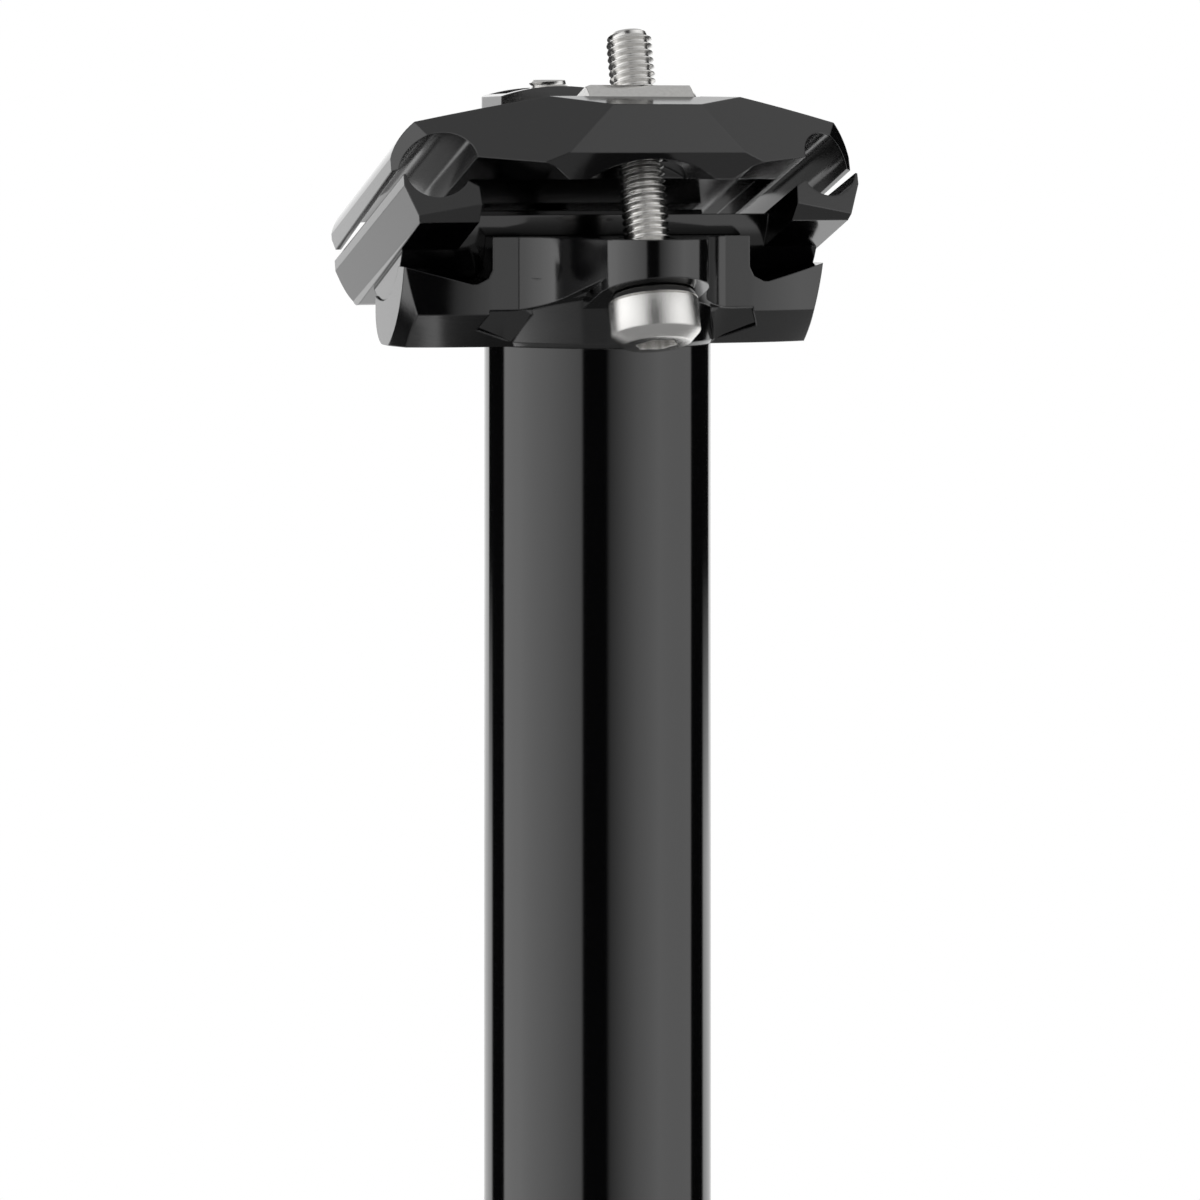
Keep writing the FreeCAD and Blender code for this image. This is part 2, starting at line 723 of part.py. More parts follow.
def lip_trim():
    """What comes off under the outer lips, whose lower edge falls a little towards the front."""
    fall = (lip_bottom - lip_front_bottom) / (2 * lip_back)
    return side_prism(
        [
            (-facet_top_back, lip_front_bottom - over),
            (-facet_top_back, lip_bottom + fall * (facet_top_back - lip_back)),
            (lip_front - lip_front_round, lip_front_bottom),
            (lip_front, lip_front_bottom + lip_front_round),
            (plate_front + over, lip_front_bottom + lip_front_round + over),
            (plate_front + over, lip_front_bottom - over),
        ],
        rail_x + groove_radius / 2,
        lip_outer + over,
    )


def make_upper_clamp():
    body = upper_section(-facet_top_back - 2, plate_front)
    body = body.cut(rear_facets())
    body = body.cut(both_sides(lip_trim()))
    front_corner = plan_prism(
        [
            (front_boss_half_width, plate_front),
            (rail_x + groove_radius, lip_front),
            (lip_outer + over, lip_front),
            (lip_outer + over, plate_front + over),
            (front_boss_half_width, plate_front + over),
        ],
        -big / 8,
        big / 8,
    )
    body = body.cut(both_sides(front_corner))
    hollow_half = rail_x - groove_radius - rim_land
    level_run = (plate_bottom - skirt_bottom) / math.tan(slope)
    hollow = [
        (-skirt_back - over, -big / 8),
        (-skirt_back - over, skirt_bottom - over * math.tan(slope)),
        (-skirt_back + level_run, plate_bottom),
        (plate_front + over, plate_bottom),
        (plate_front + over, -big / 8),
    ]
    body = body.cut(side_prism(hollow, -hollow_half, hollow_half))
    block, spine = front_boss()
    under = beyond(Vector(0, 0, plate_bottom), Vector(0, 0, -1))
    raised = block.fuse(spine)
    raised.rotate(ORIGIN, X_AXIS, rail_slope)
    raised = raised.cut(under)
    body = body.fuse(raised)

    rear_trough = across(nut_seat, -rear_bolt_back, rear_nut_height, nut_half_length + pocket_clearance)
    rear_room = box(
        -nut_half_length - pocket_clearance,
        nut_half_length + pocket_clearance,
        -rear_bolt_back - nut_seat,
        -rear_bolt_back + nut_seat,
        rear_nut_height,
        big / 8,
    )
    rear_hole = slot(hole_radius, rear_clamp_slot, -rear_bolt_back, -big / 8, rear_nut_height)
    arch_base = Vector(0, -skirt_back, skirt_bottom + arch_rise - arch_radius)
    level = Vector(0, math.cos(slope), math.sin(slope))
    arch = cylinder(arch_radius, arch_base - level * big / 8, level, big / 8 + skirt_back - bar_radius)
    body = body.cut([rear_trough, rear_room, rear_hole, arch])

    front_pocket = across(nut_seat, front_bolt_forward, front_nut_height, nut_half_length + pocket_clearance)
    front_room = box(
        -nut_half_length - pocket_clearance,
        nut_half_length + pocket_clearance,
        front_bolt_forward - nut_seat,
        front_bolt_forward + nut_seat,
        front_nut_height,
        big / 8,
    )
    front_hole = slot(hole_radius, front_clamp_slot, front_bolt_forward, -big / 8, front_nut_height)
    for tool in (front_pocket, front_room, front_hole):
        tool.rotate(ORIGIN, X_AXIS, rail_slope)
        body = body.cut(tool)
    return from_rail(single(body))


def barrel_nut(y, height):
    """A half-round nut lying along X with a flat top and a bore for the bolt, in the frame of its bolt."""
    nut = across(nut_radius, y, height, nut_half_length)
    rims = [edge for edge in nut.Edges if edge.Curve.TypeId == "Part::GeomCircle"]
    nut = nut.makeChamfer(nut_chamfer, rims)
    flat = height + nut_flat
    top = box(-nut_half_length, nut_half_length, y - nut_radius, y + nut_radius, flat, flat + nut_radius)
    bore = cylinder(bolt_radius + thread_clearance, Vector(0, y, height - big / 8), Z_AXIS, big / 4)
    return single(nut.cut([top, bore]))


def star_socket(y, z):
    """A six-pointed socket, cut upwards from the bolt head's end."""
    core = cylinder(socket_diameter / 2, Vector(0, y, z), Z_AXIS, socket_depth)
    reach = socket_diameter / 2 + socket_lobe_out
    for index in range(socket_points):
        angle = 2 * math.pi * (index + 0.5) / socket_points
        place = Vector(reach * math.cos(angle), y + reach * math.sin(angle), z)
        core = core.cut(cylinder(socket_lobe, place, Z_AXIS, socket_depth))
    return core


def bolt(y, under_head):
    """An M5 bolt standing on its head, in the frame of its bolt. Its thread is a plain cylinder here."""
    head_radius = bolt_head_diameter / 2
    cone_top = under_head - bolt_head_height + bolt_head_cone
    end = under_head - bolt_head_height
    shank = cylinder(bolt_radius, Vector(0, y, under_head), Z_AXIS, bolt_length)
    tip = [edge for edge in shank.Edges if abs(edge.BoundBox.ZMin - under_head - bolt_length) < tolerance]
    shank = shank.makeChamfer(bolt_tip_chamfer, tip)
    barrel = cylinder(head_radius, Vector(0, y, cone_top), Z_AXIS, under_head - cone_top)
    small_radius = head_radius - bolt_cone_inset
    cone = Part.makeCone(small_radius, head_radius, bolt_head_cone, Vector(0, y, end), Z_AXIS)
    body = shank.fuse([barrel, cone])
    return single(body.cut(star_socket(y, end)))


def washer(y, under_head):
    """A dished washer: its ball side turns up into the head's seat."""
    centre = under_head + washer_rim - seat_depth
    ball = Part.makeSphere(washer_sphere, Vector(0, y, centre))
    ball = ball.cut(box(-big, big, -big, big, -big, under_head))
    ball = ball.cut(box(-big, big, -big, big, under_head + washer_rim + washer_dome, big))
    bore_radius = bolt_radius + washer_bore_clearance
    bore = cylinder(bore_radius, Vector(0, y, under_head - over), Z_AXIS, 2 * washer_sphere)
    return single(ball.cut(bore))


def make_all():
    return {
        "post_tube": make_post_tube(),
        "head": make_head(),
        "lower_clamp": make_lower_clamp(),
        "upper_clamp": make_upper_clamp(),
        "rear_barrel_nut": from_rail(barrel_nut(-rear_bolt_back, rear_nut_height)),
        "rear_bolt": from_rail(bolt(-rear_bolt_back, rear_under_head)),
        "rear_washer": from_rail(washer(-rear_bolt_back, rear_under_head)),
        "front_barrel_nut": from_head(barrel_nut(front_bolt_forward, front_nut_height)),
        "front_bolt": from_head(bolt(front_bolt_forward, front_under_head)),
        "front_washer": from_head(washer(front_bolt_forward, front_under_head)),
    }


os.makedirs("parts", exist_ok=True)
for node, shape in make_all().items():
    shape.exportStep("parts/%s.step" % node)
    size = shape.BoundBox
    print("%-18s volume %9.1f mm3, %5.1f x %5.1f x %5.1f, valid %s" % (
        node, shape.Volume, size.XLength, size.YLength, size.ZLength, shape.isValid()))
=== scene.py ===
# %% [markdown]
# # A bicycle seatpost on a white ground
#
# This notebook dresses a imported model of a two-bolt seatpost. The solids already have their shape and
# place, so the work here is finish: black anodised aluminium, bright stainless screws with real threads,
# and a studio whose reflections draw the long bands that a polished tube shows. Everything is in metres,
# +Z up along the tube.

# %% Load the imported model
import json
import math

import bmesh
import bpy
from mathutils import Matrix, Vector


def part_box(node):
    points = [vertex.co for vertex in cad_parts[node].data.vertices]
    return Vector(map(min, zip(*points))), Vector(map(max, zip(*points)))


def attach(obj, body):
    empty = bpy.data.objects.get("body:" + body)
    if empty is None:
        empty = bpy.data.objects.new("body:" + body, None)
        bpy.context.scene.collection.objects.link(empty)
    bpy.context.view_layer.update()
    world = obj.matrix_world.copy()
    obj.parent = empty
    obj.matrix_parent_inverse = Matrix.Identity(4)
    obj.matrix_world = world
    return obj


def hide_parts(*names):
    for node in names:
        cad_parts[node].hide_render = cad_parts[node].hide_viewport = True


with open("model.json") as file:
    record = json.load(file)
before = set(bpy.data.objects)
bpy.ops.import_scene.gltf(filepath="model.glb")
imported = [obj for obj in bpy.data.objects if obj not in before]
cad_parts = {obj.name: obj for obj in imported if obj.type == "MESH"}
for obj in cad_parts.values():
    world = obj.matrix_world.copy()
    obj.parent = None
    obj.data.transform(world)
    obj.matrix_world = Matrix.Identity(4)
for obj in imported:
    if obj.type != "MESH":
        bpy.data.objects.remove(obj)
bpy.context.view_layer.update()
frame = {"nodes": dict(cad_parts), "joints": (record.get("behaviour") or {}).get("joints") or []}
print("nodes:", sorted(frame["nodes"]))

# %% [markdown]
# ## The camera
#
# The camera is level, stands at the clamp's height and is turned 17 degrees off the bicycle's middle
# plane. A level camera keeps the tube's sides parallel. The clamp sits high in the picture, and that is
# done by shifting the lens, as an architect's camera does, instead of tilting it. The photograph alone
# does not fix the distance. The lens makes a tube 25.4 mm across as wide as the photograph's, and at this
# distance the rail grooves then come out 43.8 mm apart.

# %% Camera
MM = 0.001
PICTURE = 1200
SENSOR = 36.0
CLIP_START = 0.01
turn = math.radians(17.0)
distance = 386 * MM
focal_pixels = 3450.0
tube_axis_pixel = 597.5
horizon_pixel = 150.0
eye_height = 306.9 * MM

camera_data = bpy.data.cameras.new("camera")
camera_data.sensor_width = SENSOR
camera_data.lens = SENSOR * focal_pixels / PICTURE
camera_data.shift_x = (PICTURE / 2 - tube_axis_pixel) / PICTURE
camera_data.shift_y = (horizon_pixel - PICTURE / 2) / PICTURE
camera_data.clip_start = CLIP_START
camera = bpy.data.objects.new("camera", camera_data)
camera.location = (-distance * math.sin(turn), -distance * math.cos(turn), eye_height)
camera.rotation_euler = (math.pi / 2, 0, -turn)
bpy.context.collection.objects.link(camera)
bpy.context.scene.camera = camera
bpy.context.scene.view_settings.view_transform = "Standard"
print("lens %.1f mm, shift %.3f %.3f" % (camera_data.lens, camera_data.shift_x, camera_data.shift_y))

# %% [markdown]
# ## Helpers for node trees
#
# A material is a graph of nodes. A few small helpers keep the rest short: one adds a node and sets or
# links its inputs, one joins two sockets, and the others make the nodes that come up again and again.


# %% Node helpers
def fill(tree, node, inputs):
    """Set a node's inputs. A value that is a socket is linked instead."""
    for name, value in inputs.items():
        if isinstance(value, bpy.types.NodeSocket):
            tree.links.new(value, node.inputs[name])
        else:
            node.inputs[name].default_value = value


def add_node(tree, kind, inputs=None, **settings):
    node = tree.nodes.new(kind)
    for name, value in settings.items():
        setattr(node, name, value)
    fill(tree, node, inputs or {})
    return node


def join(tree, source, target):
    tree.links.new(source, target)


def grey(level):
    return (level, level, level, 1)


def math_node(tree, operation, first, second=None, third=None):
    inputs = {0: first}
    if second is not None:
        inputs[1] = second
    if third is not None:
        inputs[2] = third
    return add_node(tree, "ShaderNodeMath", inputs, operation=operation).outputs[0]


def ramp_node(tree, value, stops):
    """A grey ramp. Stops are (position, brightness) pairs."""
    node = add_node(tree, "ShaderNodeValToRGB", {"Fac": value})
    ramp = node.color_ramp
    while len(ramp.elements) < len(stops):
        ramp.elements.new(0.5)
    for element, (position, level) in zip(ramp.elements, stops):
        element.position = position
        element.color = grey(level)
    return node.outputs["Color"]


MIX_FACTOR, MIX_A, MIX_B, MIX_RESULT = 0, 6, 7, 2


def mix_colour(tree, factor, first, second):
    inputs = {MIX_FACTOR: factor, MIX_A: first, MIX_B: second}
    node = add_node(tree, "ShaderNodeMix", data_type="RGBA")
    fill(tree, node, inputs)
    return node.outputs[MIX_RESULT]


def object_noise(tree, scale, detail):
    """Noise that is fixed to the piece."""
    place = add_node(tree, "ShaderNodeTexCoord").outputs["Object"]
    inputs = {"Vector": place, "Scale": scale, "Detail": detail}
    return add_node(tree, "ShaderNodeTexNoise", inputs).outputs["Fac"]


print("mix sockets:", MIX_FACTOR, MIX_A, MIX_B, MIX_RESULT)

# %% [markdown]
# ## The studio
#
# A black tube shows nothing but reflections. In the photograph it carries two broad grey bands, a black
# line down the middle and a black line near each side. The world draws them with two tall soft boxes, a
# dark room between and beside them, and a white backdrop behind. It is a ramp round the compass that only
# glossy rays see. The camera sees plain white, and the diffuse light is an even grey. Above the post the
# room fades to a dim ceiling and below it to a dimmer ground, and low down behind the post lies a pale
# table. The compass is fixed in the room, so the bands stay put when the camera walks round.

# %% World
DARK = 0.005
WHITE = 1.0
BAND_STOPS = (
    (-180, WHITE),
    (-146, WHITE),
    (-143, DARK),
    (-110, DARK),
    (-108, 0.92),
    (-85, 1.0),
    (-50, 0.8),
    (-16, 0.52),
    (-14, DARK),
    (9, DARK),
    (13, 0.2),
    (40, 0.6),
    (65, 0.82),
    (108, 0.6),
    (110, DARK),
    (152, DARK),
    (155, WHITE),
    (180, WHITE),
)
CEILING_FROM, CEILING_TO, CEILING_LEVEL = 0.35, 0.5, 0.35
GROUND_FROM, GROUND_TO, GROUND_LEVEL = 0.33, 0.5, 0.2
TABLE_FROM, TABLE_TO, TABLE_LEVEL = 0.12, 0.2, 0.8
TABLE_EDGE, TABLE_FULL = 133, 137
DIFFUSE_STRENGTH = 0.75
GLOSSY_STRENGTH = 1.3
BACKDROP_STRENGTH = 1.0

world = bpy.data.worlds.new("studio")
bpy.context.scene.world = world
world.use_nodes = True
tree = world.node_tree
tree.nodes.clear()

to_camera = Vector((-math.sin(turn), -math.cos(turn), 0))
to_right = Vector((math.cos(turn), -math.sin(turn), 0))
direction = add_node(tree, "ShaderNodeTexCoord").outputs["Generated"]


def along(axis):
    inputs = {0: direction, 1: tuple(axis)}
    return add_node(tree, "ShaderNodeVectorMath", inputs, operation="DOT_PRODUCT").outputs["Value"]


def at(degrees):
    """A compass bearing from the camera, right positive, as a place on the ramp."""
    return degrees / 360 + 0.5


def rise(value, start, full):
    """0 up to the start and 1 from full on."""
    return ramp_node(tree, value, [(0.0, 0.0), (start, 0.0), (full, 1.0)])


def background(colour, strength):
    return add_node(tree, "ShaderNodeBackground", {"Color": colour, "Strength": strength}).outputs[0]


def either(choice, first, second):
    return add_node(tree, "ShaderNodeMixShader", {0: choice, 1: first, 2: second}).outputs[0]


compass = math_node(tree, "ARCTAN2", along(to_right), along(to_camera))
compass = math_node(tree, "MULTIPLY_ADD", compass, 1 / (2 * math.pi), 0.5)
bands = ramp_node(tree, compass, [(at(bearing), level) for bearing, level in BAND_STOPS])
height = add_node(tree, "ShaderNodeSeparateXYZ", {"Vector": direction}).outputs["Z"]
sunk = math_node(tree, "MULTIPLY", height, -1.0)
room = mix_colour(tree, rise(height, CEILING_FROM, CEILING_TO), bands, grey(CEILING_LEVEL))
room = mix_colour(tree, rise(sunk, GROUND_FROM, GROUND_TO), room, grey(GROUND_LEVEL))
table_stops = [(-180, 1.0), (-TABLE_FULL, 1.0), (-TABLE_EDGE, 0.0), (TABLE_EDGE, 0.0), (TABLE_FULL, 1.0)]
behind = ramp_node(tree, compass, [(at(bearing), level) for bearing, level in table_stops])
table = math_node(tree, "MULTIPLY", behind, rise(sunk, TABLE_FROM, TABLE_TO))
room = mix_colour(tree, table, room, grey(TABLE_LEVEL))

path = add_node(tree, "ShaderNodeLightPath")
diffuse_light = background(grey(1), DIFFUSE_STRENGTH)
glossy_light = background(room, GLOSSY_STRENGTH)
backdrop = background(grey(1), BACKDROP_STRENGTH)
lit = either(path.outputs["Is Glossy Ray"], diffuse_light, glossy_light)
seen = either(path.outputs["Is Camera Ray"], lit, backdrop)
add_node(tree, "ShaderNodeOutputWorld", {"Surface": seen})
print("world nodes:", len(tree.nodes))

# %% [markdown]
# ## Fine marks on metal
#
# Turning and milling leave shallow parallel lines. A noise that is squeezed hard along one direction
# gives such lines, and a Bump node turns it into light. Several finishes here want the same effect with
# other spacings, so it is a node group: built once, placed in each material, and fed with its own stretch
# and strength.

# %% Group of tool marks
MARK_DISTANCE = 0.02 * MM
MARK_ROUGHNESS = 0.6


def new_group(name, inputs, outputs):
    """A shader node group. Inputs and outputs are (name, kind, value) and (name, kind) entries."""
    group = bpy.data.node_groups.new(name, "ShaderNodeTree")
    for label, kind, value in inputs:
        socket = group.interface.new_socket(label, in_out="INPUT", socket_type=kind)
        if value is not None:
            socket.default_value = value
    for label, kind in outputs:
        group.interface.new_socket(label, in_out="OUTPUT", socket_type=kind)
    entry = group.nodes.new("NodeGroupInput")
    leave = group.nodes.new("NodeGroupOutput")
    return group, entry.outputs, leave.inputs


tool_marks, given, result = new_group(
    "tool_marks",
    [
        ("Stretch", "NodeSocketVector", (40, 2500, 2500)),
        ("Detail", "NodeSocketFloat", 2.0),
        ("Depth", "NodeSocketFloat", 0.2),
        ("Normal", "NodeSocketVector", None),
    ],
    [("Lines", "NodeSocketFloat"), ("Normal", "NodeSocketVector")],
)
place = add_node(tool_marks, "ShaderNodeTexCoord").outputs["Object"]
squeezed = add_node(
    tool_marks,
    "ShaderNodeVectorMath",
    {0: place, 1: given["Stretch"]},
    operation="MULTIPLY",
).outputs[0]
lines = add_node(
    tool_marks,
    "ShaderNodeTexNoise",
    {"Vector": squeezed, "Scale": 1.0, "Detail": given["Detail"], "Roughness": MARK_ROUGHNESS},
).outputs["Fac"]
marked = add_node(
    tool_marks,
    "ShaderNodeBump",
    {"Height": lines, "Strength": given["Depth"], "Distance": MARK_DISTANCE, "Normal": given["Normal"]},
)
join(tool_marks, lines, result["Lines"])
join(tool_marks, marked.outputs[0], result["Normal"])
print("tool marks group:", len(tool_marks.nodes), "nodes")

# %% [markdown]
# ## Softened edges
#
# A machined part has no perfectly sharp edge. A cutter or a deburring brush leaves a narrow round, and
# that round is what catches a thin line of light. The solids come with sharp edges. Instead of rounding
# the mesh, the Bevel node turns the shading normal near an edge. Where the turned normal and the true one
# differ, there is an edge, and the same comparison gives a mask for a painted highlight there: a slightly
# paler colour along the edge, broken up by a fine speckle.

# %% Group of softened edges
BEVEL_SAMPLES = 6
EDGE_GAP_FROM, EDGE_GAP_TO = 0.02, 0.28
SPECKLE_SCALE = 900.0
SPECKLE_DETAIL = 3.0
SPECKLE_STOPS = ((0.3, 0.35), (0.65, 1.0))

# The Edge output is the mask for a painted highlight along the edges, and the second input sets its
# strength.
soft_edges, given, result = new_group(
    "soft_edges",
    [("Radius", "NodeSocketFloat", 0.2 * MM), ("Rubbed", "NodeSocketFloat", 0.5)],
    [("Edge", "NodeSocketFloat"), ("Normal", "NodeSocketVector")],
)
bevel = add_node(soft_edges, "ShaderNodeBevel", {"Radius": given["Radius"]}, samples=BEVEL_SAMPLES)
turned = bevel.outputs[0]
true = add_node(soft_edges, "ShaderNodeNewGeometry").outputs["True Normal"]
agreement = add_node(soft_edges, "ShaderNodeVectorMath", {0: turned, 1: true}, operation="DOT_PRODUCT")
gap = math_node(soft_edges, "SUBTRACT", 1.0, agreement.outputs["Value"])
mask = add_node(
    soft_edges,
    "ShaderNodeMapRange",
    {"Value": gap, "From Min": EDGE_GAP_FROM, "From Max": EDGE_GAP_TO},
    interpolation_type="SMOOTHSTEP",
).outputs["Result"]
# A fine speckle breaks up the painted edge highlight.
speckle = object_noise(soft_edges, SPECKLE_SCALE, SPECKLE_DETAIL)
highlight_speckle = ramp_node(soft_edges, speckle, SPECKLE_STOPS)
edge = math_node(soft_edges, "MULTIPLY", mask, highlight_speckle)
edge = math_node(soft_edges, "MULTIPLY", edge, given["Rubbed"])
join(soft_edges, edge, result["Edge"])
join(soft_edges, turned, result["Normal"])
print("soft edges group:", len(soft_edges.nodes), "nodes")

# %% [markdown]
# ## Black anodised aluminium
#
# Anodising grows a hard clear skin on aluminium and black dye fills it. The skin is thin and glassy, so
# the colour is almost nothing and the look is all reflection, stronger than a plastic's. The tube is the
# smoother of the two finishes. The head and the clamps are a little rougher, so their reflections are
# softer. The same builder makes both from other numbers.

# %% Black finishes
ANODISED_IOR = 1.82
BLACK_DYE = (0.0008, 0.0008, 0.001)


def new_material(name):
    material = bpy.data.materials.new(name)
    material.use_nodes = True
    tree = material.node_tree
    tree.nodes.clear()
    shader = tree.nodes.new("ShaderNodeBsdfPrincipled")
    add_node(tree, "ShaderNodeOutputMaterial", {"Surface": shader.outputs[0]})
    return material, tree, shader


def place_group(tree, group, **inputs):
    node = add_node(tree, "ShaderNodeGroup", node_tree=group)
    fill(tree, node, {name.capitalize(): value for name, value in inputs.items()})
    return node


def spread(tree, value, low, high):
    """Stretch a 0 to 1 value over a range."""
    inputs = {"Value": value, "To Min": low, "To Max": high}
    return add_node(tree, "ShaderNodeMapRange", inputs).outputs["Result"]


def black_anodised(name, rubbed_dye, roughness, stretch, depth, edge_radius, rubbed):
    """Dyed anodising. Roughness is a (low, high) pair that the tool marks vary between."""
    material, tree, shader = new_material(name)
    edges = place_group(tree, soft_edges, radius=edge_radius, rubbed=rubbed)
    marks = place_group(tree, tool_marks, stretch=stretch, depth=depth, normal=edges.outputs["Normal"])
    # Painted highlight: the base colour turns paler along the edges, where the edge mask is high.
    colour = mix_colour(tree, edges.outputs["Edge"], (*BLACK_DYE, 1), (*rubbed_dye, 1))
    join(tree, colour, shader.inputs["Base Color"])
    join(tree, spread(tree, marks.outputs["Lines"], *roughness), shader.inputs["Roughness"])
    join(tree, marks.outputs["Normal"], shader.inputs["Normal"])
    shader.inputs["IOR"].default_value = ANODISED_IOR
    return material


# In both finishes the paler second colour and its strength are a painted highlight along the edges.
polished_black = black_anodised(
    "polished_black_anodised",
    rubbed_dye=(0.05, 0.05, 0.052),
    roughness=(0.05, 0.11),
    stretch=(30, 30, 9000),
    depth=0.06,
    edge_radius=0.15 * MM,
    rubbed=0.6,
)
satin_black = black_anodised(
    "satin_black_anodised",
    rubbed_dye=(0.03, 0.03, 0.032),
    roughness=(0.09, 0.16),
    stretch=(120, 3500, 3500),
    depth=0.12,
    edge_radius=0.22 * MM,
    rubbed=0.7,
)
print("black finishes:", polished_black.name, satin_black.name)

# %% [markdown]
# ## Stainless steel
#
# The bolt heads are blasted, which covers the metal with tiny dents, so the grain sparkles a little from
# dent to dent. The threads have a finer grain, and the nuts and washers show turning lines. All are one
# alloy: a warm grey metal whose look is again reflection, only this time at full strength.

# %% Steel finishes
STEEL_TINT = (0.92, 0.91, 0.89)
GRAIN_SHADE = 0.82
GRAIN_DETAIL = 3.0
DENT_DISTANCE = 0.05 * MM


def stainless(name, roughness, grain_scale, grain_depth, stretch, mark_depth, edge_radius):
    material, tree, shader = new_material(name)
    edges = place_group(tree, soft_edges, radius=edge_radius, rubbed=1.0)
    marks = place_group(tree, tool_marks, stretch=stretch, depth=mark_depth, normal=edges.outputs["Normal"])
    grain = object_noise(tree, grain_scale, GRAIN_DETAIL)
    normal = marks.outputs["Normal"]
    dents = add_node(
        tree,
        "ShaderNodeBump",
        {"Height": grain, "Strength": grain_depth, "Distance": DENT_DISTANCE, "Normal": normal},
    )
    darker = tuple(GRAIN_SHADE * level for level in STEEL_TINT)
    colour = mix_colour(tree, grain, (*darker, 1), (*STEEL_TINT, 1))
    join(tree, colour, shader.inputs["Base Color"])
    join(tree, spread(tree, grain, *roughness), shader.inputs["Roughness"])
    join(tree, dents.outputs[0], shader.inputs["Normal"])
    shader.inputs["Metallic"].default_value = 1.0
    return material


blasted_steel = stainless(
    "blasted_stainless",
    roughness=(0.16, 0.3),
    grain_scale=9000.0,
    grain_depth=0.55,
    stretch=(900, 900, 900),
    mark_depth=0.05,
    edge_radius=0.12 * MM,
)
turned_steel = stainless(
    "turned_stainless",
    roughness=(0.14, 0.26),
    grain_scale=2500.0,
    grain_depth=0.08,
    stretch=(9000, 60, 60),
    mark_depth=0.25,
    edge_radius=0.12 * MM,
)
thread_steel = stainless(
    "thread_stainless",
    roughness=(0.16, 0.3),
    grain_scale=5000.0,
    grain_depth=0.15,
    stretch=(2500, 2500, 2500),
    mark_depth=0.1,
    edge_radius=0.05 * MM,
)
print("steel finishes:", blasted_steel.name, turned_steel.name, thread_steel.name)

# %% [markdown]
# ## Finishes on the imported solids
#
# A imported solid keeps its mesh, and only its material slot changes.

# %% Dress the solids
finishes = {
    "post_tube": polished_black,
    "head": satin_black,
    "lower_clamp": satin_black,
    "upper_clamp": satin_black,
    "rear_barrel_nut": turned_steel,
    "front_barrel_nut": turned_steel,
    "rear_washer": turned_steel,
    "front_washer": turned_steel,
}
for node, material in finishes.items():
    for slot in frame["nodes"][node].material_slots:
        slot.material = material
    print(node, "wears", material.name)

# %% [markdown]
# ## Where the bolts are
#
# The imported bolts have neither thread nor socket, so each gets a new piece. Its line comes from the
# frame. A nut turns about a hinge on its bolt's axis, the bolt slides along the axis of its own joint,
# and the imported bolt's box gives the height of its tip.

# %% Bolt lines
THREAD_RADIUS = 2.5 * MM
TIP_CHAMFER = 0.55 * MM
BOLT_LENGTH = 30.0 * MM
SIDES = ("rear", "front")
joints = {joint["name"]: joint for joint in frame["joints"]}


def bolt_line(side):
    """The tip's centre and the direction from head to tip of one bolt."""
    axis = Vector(joints[side + "_screw_travel"]["axis"]).normalized()
    nut_centre = Vector(joints[side + "_nut_rock"]["pos_m"])
    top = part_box(side + "_bolt")[1][2]
    lean = math.sqrt(1 - axis.z ** 2)
    tip_height = top - (THREAD_RADIUS - TIP_CHAMFER) * lean
    tip = nut_centre + axis * ((tip_height - nut_centre.z) / axis.z)
    return tip, axis


for side in SIDES:
    tip, axis = bolt_line(side)
    tip_mm = [round(value / MM, 2) for value in tip]
    print(side, "bolt tip at", tip_mm, "mm, axis", [round(value, 4) for value in axis])

# %% [markdown]
# ## A rolled thread
#
# An M5 thread rises 0.8 mm a turn. The quickest true helix is a spin with a rise: a zigzag of crests and
# roots as tall as the bolt is turned once round while it climbs one pitch, so its end meets its own
# start, one tooth higher. Merging the doubles closes that seam. Two cuts with a plane trim the ends, and
# the tip is drawn in to a chamfer.

# %% Thread
PITCH = 0.8 * MM
THREAD_DEPTH = 0.46 * MM
CREST = PITCH / 8
ROOT = PITCH / 5
THREAD_STEPS = 36
SPARE_TEETH = 3
TEETH_BELOW = 2
MERGE_DISTANCE = 0.01 * MM


def threaded_rod(length):
    """A threaded rod that stands on the origin along +Z."""
    rod = bmesh.new()
    flank = (PITCH - CREST - ROOT) / 2
    teeth = int(length / PITCH) + SPARE_TEETH
    row = []
    for tooth in range(teeth):
        foot = (tooth - TEETH_BELOW) * PITCH
        for climb, radius in (
            (0, THREAD_RADIUS - THREAD_DEPTH),
            (ROOT, THREAD_RADIUS - THREAD_DEPTH),
            (ROOT + flank, THREAD_RADIUS),
            (ROOT + flank + CREST, THREAD_RADIUS),
        ):
            row.append(rod.verts.new((radius, 0, foot + climb)))
    chain = [rod.edges.new(pair) for pair in zip(row, row[1:])]
    bmesh.ops.spin(
        rod,
        geom=row + chain,
        cent=(0, 0, 0),
        axis=(0, 0, 1),
        dvec=(0, 0, PITCH / THREAD_STEPS),
        angle=2 * math.pi,
        steps=THREAD_STEPS,
    )
    bmesh.ops.remove_doubles(rod, verts=rod.verts, dist=MERGE_DISTANCE)
    for height, outwards in ((0, -1), (length, 1)):
        cut = bmesh.ops.bisect_plane(
            rod,
            geom=rod.verts[:] + rod.edges[:] + rod.faces[:],
            plane_co=(0, 0, height),
            plane_no=(0, 0, outwards),
            clear_outer=True,
        )
        rim = [item for item in cut["geom_cut"] if isinstance(item, bmesh.types.BMEdge)]
        bmesh.ops.holes_fill(rod, edges=rim, sides=0)
    for vert in rod.verts:
        limit = THREAD_RADIUS - max(0.0, vert.co.z - (length - TIP_CHAMFER))
        radius = vert.co.xy.length
        if radius > limit:
            vert.co.xy = vert.co.xy * (limit / radius)
    bmesh.ops.recalc_face_normals(rod, faces=rod.faces)
    return rod


